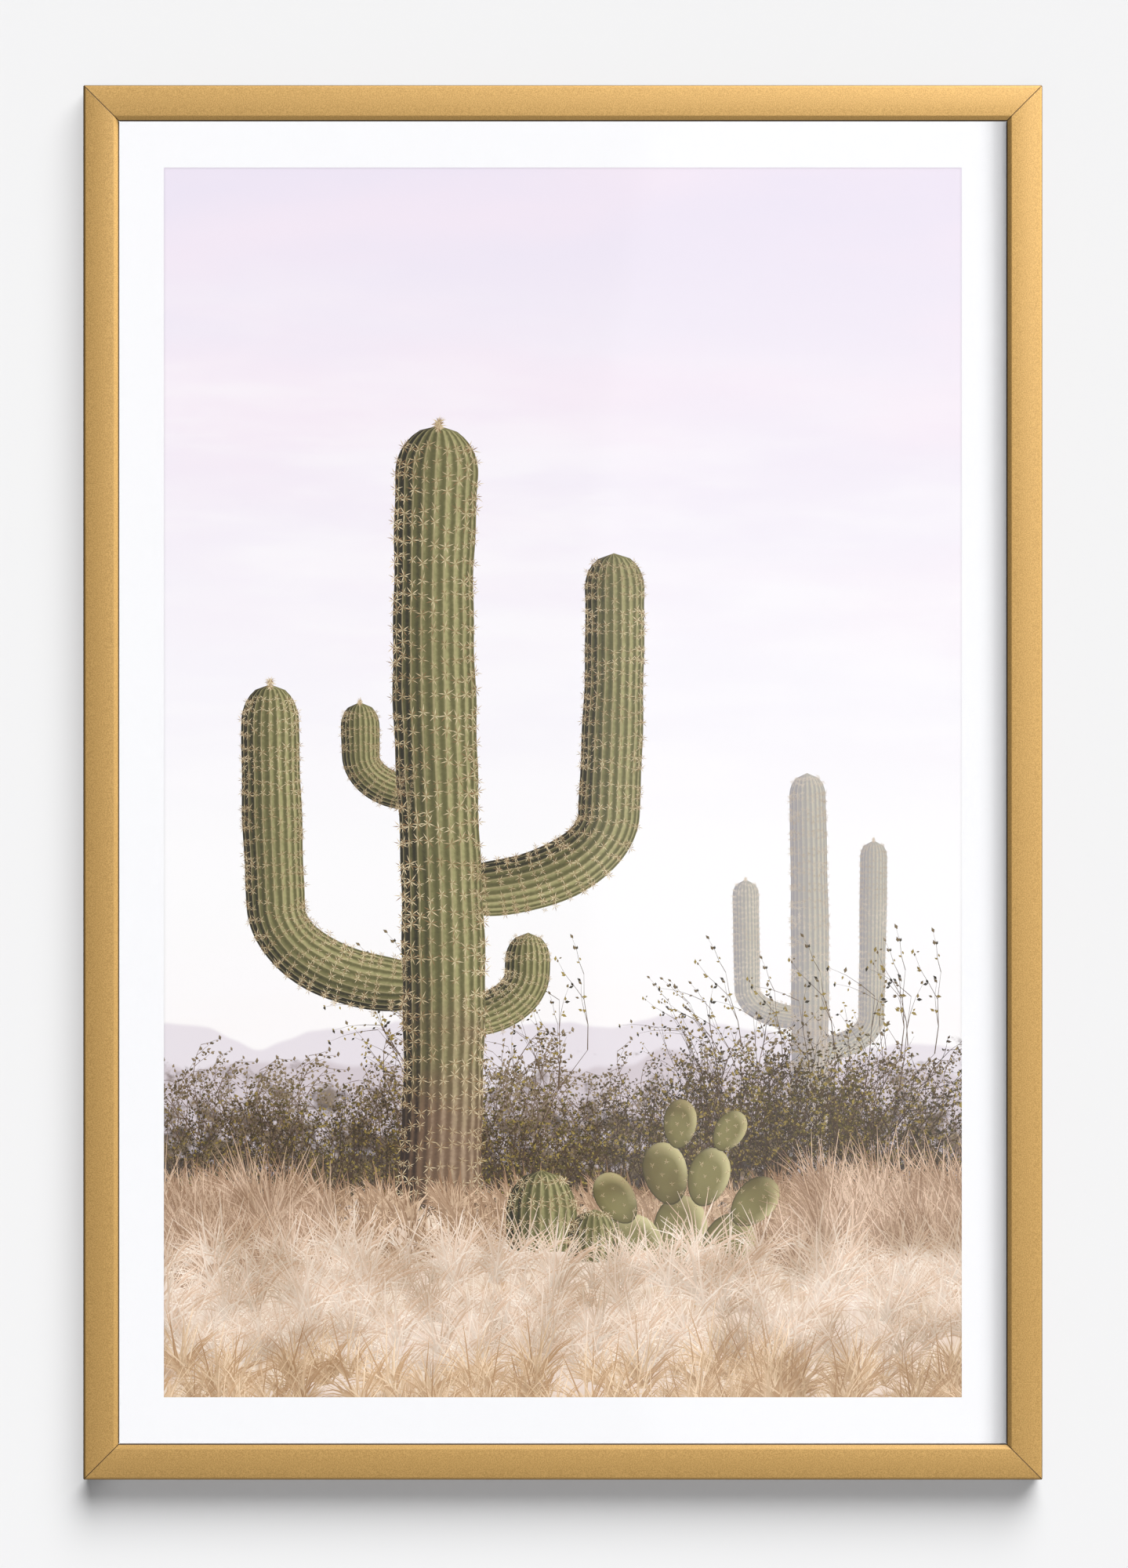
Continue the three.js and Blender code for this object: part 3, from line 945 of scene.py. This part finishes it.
skin = cactus_skin()
near_star = spine_star("near_star", 31, ink(150, 120, 84), ink(220, 204, 168))
far_star = spine_star("far_star", 32, ink(196, 182, 168), ink(224, 214, 200))
giant_stems = [
    (bent_arm(-84, 232, -78, 46, 402), 33, 0.0, 0.72),
    (bent_arm(-56, 286, 82, 44, 476), 34, 0.0, 0.72),
    (bent_arm(-60, 214, 40, 26, 262), 25, 0.0, 0.75),
    (bent_arm(-80, 340, -34, 22, 392), 22, 0.0, 0.75),
    (upright(-70, 108, 548, 3.0), 46, 0.01, 1.0, 0),
]
distant_stems = [
    (bent_arm(134, 214, -30, 16, 292), 15, 0.0, 0.75),
    (bent_arm(140, 196, 34, 18, 314), 15, 0.0, 0.75),
    (upright(138, 120, 352, 1.5), 21, 0.002, 1.0, 0),
]
barrel_stems = [
    (upright(-12, 82, 128, 0), 42, 0.0, 0.9),
    (upright(18, 76, 106, 0), 32, 0.005, 0.9),
]
for name, stems, haze, seed, star, depth in [
    ("giant", giant_stems, 0.0, 41, near_star, 0.08),
    ("distant", distant_stems, 0.4, 42, far_star, 0.045),
    ("barrel", barrel_stems, 0.0, 43, near_star, 0.145),
]:
    cactus = Cactus(haze, seed)
    for stem in stems:
        cactus.stem(*stem)
    cactus.lay(name, star, depth)
cleared(far_star)


def pear_pads(name, pads, depth):
    """Flat oval pads, each a fan of three rings, darker outwards but pale at its right rim."""
    drawing = Drawing()
    stars = []
    chance = random.Random(51)
    sides = 24
    inks = [ink(136, 130, 84), ink(112, 106, 64), ink(70, 64, 38)]
    for layer, (x, z, width, height, turn) in enumerate(pads):
        lean = Matrix.Rotation(-turn, 2)
        over = layer * 0.0015
        hub = drawing.point(x, z, over, inks[0])
        before = [hub] * sides
        for reach, colour in [(0.55, inks[0]), (0.92, inks[1]), (1.0, inks[2])]:
            ring = []
            for i in range(sides):
                angle = 2 * math.pi * i / sides
                narrow = 1 - 0.22 * (1 - math.sin(angle)) / 2
                place = Vector((math.cos(angle) * width / 2 * narrow, math.sin(angle) * height / 2))
                x_at, z_at = Vector((x, z)) + lean @ (place * reach)
                pale = max(0.0, math.cos(angle - 0.7)) * (reach > 0.9)
                shade = between(colour, ink(214, 208, 160), pale)
                ring.append(drawing.point(x_at, z_at, over, shade))
            for i in range(sides):
                j = (i + 1) % sides
                corners = [before[i], before[j], ring[j], ring[i]]
                drawing.faces.append(corners if before[0] != hub else [hub, ring[j], ring[i]])
            before = ring
        for row in range(-2, 3):
            for column in range(-1, 2):
                spot = Vector(((column + 0.5 * (row % 2) - 0.25) * width / 3.4, row * height / 5.6))
                x_at, z_at = Vector((x, z)) + lean @ spot
                place = on_page(x_at, z_at, over + 0.001)
                stars.append((place, chance.uniform(0, 3), chance.uniform(0.3, 0.5)))
    made = new_object(name, drawing.mesh(name))
    made.data.materials.append(page_ink)
    lay_on_page(made, depth)
    base = spots(f"{name}_spines", stars)
    lay_on_page(setting_out.work(f"{name}_spines", base, Shape=near_star, Finish=page_ink), depth)


pear_pads(
    "pear",
    [
        (66, 92, 34, 44, 0.1),
        (92, 84, 32, 42, 0.5),
        (44, 84, 30, 40, -0.45),
        (58, 126, 28, 36, -0.25),
        (82, 124, 26, 34, 0.3),
        (108, 110, 25, 33, 0.75),
        (30, 112, 24, 32, -0.6),
        (66, 154, 21, 28, 0.1),
        (94, 150, 19, 25, 0.55),
    ],
    0.15,
)
cleared(near_star)


# Dry bunch grass covers the foot of the picture, printed as the plants are. Tufts are small
# and brown at the back, large and pale in front, and warmer along the lower edge.
back_tuft = tuft("back_tuft", 12, 24, 24, ink(146, 112, 82), ink(230, 202, 172))
side_tuft = tuft("side_tuft", 14, 30, 50, ink(166, 132, 104), ink(242, 216, 192))
front_tuft = tuft("front_tuft", 15, 30, 42, ink(222, 190, 162), ink(255, 246, 234))
near_tuft = tuft("near_tuft", 16, 26, 40, ink(196, 158, 118), ink(250, 226, 194))
for name, plant, patch, count, seed, lean, sizes, depth, spread in [
    ("grass_back", back_tuft, (-236, 236, 76, 112), 330, 21, 0.25, (0.6, 1.3), 0.12, 0.015),
    ("grass_left", side_tuft, (-240, -128, 58, 108), 60, 23, 0.45, (0.5, 1.1), 0.16, 0.01),
    ("grass_right", side_tuft, (128, 240, 66, 112), 60, 24, 0.45, (0.5, 1.1), 0.16, 0.01),
    ("grass_front", front_tuft, (-236, 236, 10, 76), 330, 22, 0.35, (0.5, 1.25), 0.18, 0.025),
    ("grass_near", near_tuft, (-236, 236, -24, 14), 170, 25, 0.4, (0.5, 1.2), 0.21, 0.025),
]:
    sow(name, plant, patch, count, seed, lean, sizes, depth, spread)
cleared(back_tuft, side_tuft, front_tuft, near_tuft)


# The backing is a sheet of brown hardboard, smooth on its rear face. It closes the rebate
# behind the print and is held in by the points.
def hardboard():
    finish = Finish("hardboard")
    place = finish.place()
    fibre = finish.noise(place, 700, 5, 0.65)
    cloud = finish.noise(place, 18, 3, 0.5)
    base = finish.mix(finish.fade(fibre, 0.35, 0.7), (0.17, 0.085, 0.038), (0.28, 0.155, 0.075))
    base = finish.mix(cloud * 0.5, base, (0.21, 0.11, 0.05))
    return finish.surface(
        Base_Color=base,
        Roughness=0.62 + 0.2 * fibre,
        Normal=finish.bump(fibre, 0.0001, 0.3),
    )


backing = dress("backing_board", hardboard())


# At the back, flat steel points pressed into the rebate hold the boards in, and V-nails cross
# the mitres. The picture hangs by a toothed steel hanger on two nails. All of it is stamped,
# zinc-plated strip. Two round rubber bumpers keep the lower corners off the wall.
def zinc_plate():
    finish = Finish("zinc_plate")
    place = finish.place()
    cloud = finish.noise(place, 160, 3, 0.6)
    grain = finish.noise(place, 2600, 2, 0.6)
    base = finish.mix(cloud, (0.50, 0.51, 0.52), (0.70, 0.71, 0.71))
    return finish.surface(
        Base_Color=base,
        Metallic=1.0,
        Roughness=0.28 + 0.22 * cloud,
        Normal=finish.bump(grain, 0.00004, 0.4),
    )


def dark_rubber():
    finish = Finish("dark_rubber")
    grain = finish.noise(finish.place(), 1900, 3, 0.6)
    return finish.surface(
        Base_Color=finish.mix(grain, (0.022, 0.022, 0.023), (0.05, 0.05, 0.052)),
        Roughness=0.7 + 0.2 * grain,
        Normal=finish.bump(grain, 0.00006, 0.5),
    )


MERGED = 1e-6
FLAT_TO = math.radians(1)
ROUNDED_FROM = math.radians(40)
SHARP_FROM = math.radians(28)


def soft_copy(name, node, width, steps):
    """A copy of a CAD node with its edges rounded off."""
    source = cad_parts[node]
    mesh = bmesh.new()
    mesh.from_mesh(source.data)
    mesh.transform(source.matrix_world)
    bmesh.ops.remove_doubles(mesh, verts=mesh.verts, dist=MERGED)
    bmesh.ops.dissolve_limit(mesh, angle_limit=FLAT_TO, verts=mesh.verts, edges=mesh.edges)
    bmesh.ops.recalc_face_normals(mesh, faces=mesh.faces)
    made = new_object(name, written(mesh, name))
    soften = made.modifiers.new("soften", "BEVEL")
    soften.width = width
    soften.segments = steps
    soften.angle_limit = ROUNDED_FROM
    plain_mesh(made)
    made.data.shade_smooth()
    made.data.set_sharp_from_angle(angle=SHARP_FROM)
    return made


def set_out(name, shape_node, turns, lift=0.0):
    """One piece of many copies of a node's shape, at the places and turns of all its kind.
    Lift brings them nearer to the wall than in the CAD."""
    shape = soft_copy(f"{name}_shape", shape_node, 0.00008, 1)
    shape.data.transform(Matrix.Translation(-sum(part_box(shape_node), Vector()) / 2))
    raised = Vector((0, lift, 0))
    places = [(sum(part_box(node), raised * 2) / 2, turn, 1.0) for node, turn in turns.items()]
    made = setting_out.work(name, spots(name, places), Shape=shape, Finish=steel)
    cleared(shape)
    return fit(made, "steel", *turns)


steel = zinc_plate()
rubber = dark_rubber()
quarters = {"top": 0, "right": math.pi / 2, "bottom": math.pi, "left": -math.pi / 2}
corner_turns = {"top_left": 0, "top_right": 1, "bottom_right": 2, "bottom_left": 3}
point_turns = {
    f"point_{side}_{i}": turn
    for side, turn in quarters.items()
    for i in range(1, 3 if side in ("top", "bottom") else 5)
}
nail_turns = {
    f"corner_nail_{corner}_{i}": turn * math.pi / 2
    for corner, turn in corner_turns.items()
    for i in (1, 2)
}
hardware = [
    set_out("glazing_points", "point_top_1", point_turns),
    set_out("corner_nails", "corner_nail_top_left_1", nail_turns, 0.0003),
]
for node, material, slot, width, steps in [
    ("hanger", steel, "steel", 0.0001, 1),
    ("hanger_nail_left", steel, "steel", 0.00016, 3),
    ("hanger_nail_right", steel, "steel", 0.00016, 3),
    ("bumper_left", rubber, "bumper_rubber", 0.0003, 3),
    ("bumper_right", rubber, "bumper_rubber", 0.0003, 3),
]:
    piece = soft_copy(f"{node}_soft", node, width, steps)
    piece.data.materials.append(material)
    hardware.append(fit(piece, slot, node))


# Plain wall, floor and soft studio light. The wall can be seen through from behind, so that
# the back of the picture can be looked at too. Each light falls on what it is meant for.
def pale_wall():
    finish = Finish("pale_wall")
    behind = finish.add("ShaderNodeNewGeometry", out="Backfacing")
    paint = finish.add("ShaderNodeBsdfDiffuse", {}, {"Color": (0.84, 0.84, 0.845, 1)})
    through = finish.add("ShaderNodeBsdfTransparent")
    return finish.end(finish.add("ShaderNodeMixShader", {}, {0: behind, 1: paint, 2: through}))


def flat_panel(name, corners, material):
    mesh = mesh_of(name, corners, [(0, 1, 2, 3)])
    mesh.materials.append(material)
    panel = new_object(name, mesh)
    return panel


WALL_HALF = 3.0
FLOOR = -1.9
wall_corners = [(-1, FLOOR), (1, FLOOR), (1, WALL_HALF), (-1, WALL_HALF)]
wall_places = [(x * WALL_HALF, 0, z) for x, z in wall_corners]
wall = unseen_by_bounces(flat_panel("wall", wall_places, pale_wall()))
wall.visible_transmission = False
wall.visible_shadow = False
pale_floor = Finish("pale_floor").surface(Base_Color=(0.8, 0.8, 0.8, 1), Roughness=0.7)
floor_corners = [(-8, -12), (8, -12), (8, 8), (-8, 8)]
floor = flat_panel("floor", [(x, y, FLOOR) for x, y in floor_corners], pale_floor)

world = bpy.data.worlds.new("studio")
world.use_nodes = True
world.node_tree.nodes.clear()
studio = Nodes(world.node_tree)
seen = studio.add("ShaderNodeLightPath", out="Is Camera Ray")
strength = 0.1 + 0.8 * seen
backdrop = studio.add("ShaderNodeBackground", {}, {"Color": (1, 1, 1, 1), "Strength": strength})
world_output = world.node_tree.nodes.new("ShaderNodeOutputWorld")
world.node_tree.links.new(backdrop.socket, world_output.inputs["Surface"])
bpy.context.scene.world = world


def listed(name, objects):
    group = bpy.data.collections.new(name)
    for item in objects:
        group.objects.link(item)
    return group


def add_light(name, data, toward, lit, blockers=None):
    """A light that falls on the objects of one list, in the shadow of those of another."""
    lamp = new_object(name, data)
    lamp.rotation_mode = "QUATERNION"
    lamp.rotation_quaternion = Vector(toward).to_track_quat("-Z", "Y")
    lamp.light_linking.receiver_collection = listed(f"{name}_lit", lit)
    if blockers is not None:
        lamp.light_linking.blocker_collection = listed(f"{name}_blockers", blockers)
    return lamp


def far_light(name, right, above, spread, power, lit, blockers=None):
    """A wide soft light far off. Right and above are how steeply it comes in from there."""
    data = bpy.data.lights.new(name, "SUN")
    data.energy = power
    data.angle = math.radians(spread)
    return add_light(name, data, (-right, 1, -above), lit, blockers)


def near_light(name, position, aim, size, power, lit):
    data = bpy.data.lights.new(name, "AREA")
    data.shape = "DISK"
    data.size = size
    data.energy = power
    lamp = add_light(name, data, Vector(aim) - Vector(position), lit)
    lamp.location = position
    return lamp


middle = (0, 0, centre_z)
sheets = [mat, glazing, *inked]
carpentry = [*rails.values(), backing, *hardware]
low_left = [rails["bottom"], rails["left"]]
far_light("wall_above", 0.30, 1.05, 44, 2.42, [wall], [rails["bottom"]])
far_light("wall_corner", 0.35, 0.85, 40, 0.86, [wall], low_left)
far_light("wall_right", 0.45, 0.95, 44, 0.93, [wall, floor], [rails["left"]])
far_light("sheets_edge", 1.48, 0, 24, 2.08, sheets, [rails["right"]])
far_light("sheets_right", 0.47, 0, 50, 0.91, sheets, [rails["right"]])
far_light("sheets_front", 0, 0, 90, 1.38, sheets, [rails["right"], mat])
near_light("rails_key", (1.10, -0.50, 1.20), middle, 0.9, 72, carpentry)
# The front light gives the moulding no shine, and the gloss light gives it nothing else.
fill = near_light("rails_front", (1.3, -3.5, -1.14), middle, 1.2, 87, carpentry)
fill.visible_glossy = False
gloss = near_light("rails_gloss", (1.0, -4.0, 0.9), (0.2, 0, 0), 0.5, 50, carpentry)
gloss.visible_diffuse = False
near_light("back_left", (-1.0, 3.0, 0.9), middle, 1.6, 60, carpentry)
near_light("back_right", (1.0, 3.0, 0.6), middle, 1.6, 60, carpentry)


# The camera looks straight at the picture from four metres, with the photograph's margins.
# The photograph's size and the frame's place in it are given in its pixels.
PHOTO_WIDTH = 1439
PHOTO_HEIGHT = 2000
FRAME_CENTRE_X = 718
FRAME_CENTRE_Y = 998
FRAME_HEIGHT = 1779.5
CAMERA_DISTANCE = 4.0
SENSOR = 36
metres_per_pixel = outer_height / FRAME_HEIGHT
camera_data = bpy.data.cameras.new("camera")
camera_data.sensor_width = SENSOR
camera_data.lens = SENSOR * CAMERA_DISTANCE / (PHOTO_HEIGHT * metres_per_pixel)
camera = new_object("camera", camera_data)
camera.location = (
    (PHOTO_WIDTH / 2 - FRAME_CENTRE_X) * metres_per_pixel,
    rail_front - CAMERA_DISTANCE,
    centre_z - (PHOTO_HEIGHT / 2 - FRAME_CENTRE_Y) * metres_per_pixel,
)
camera.rotation_euler = (math.pi / 2, 0, 0)
bpy.context.scene.camera = camera
bpy.context.scene.view_settings.view_transform = "Standard"
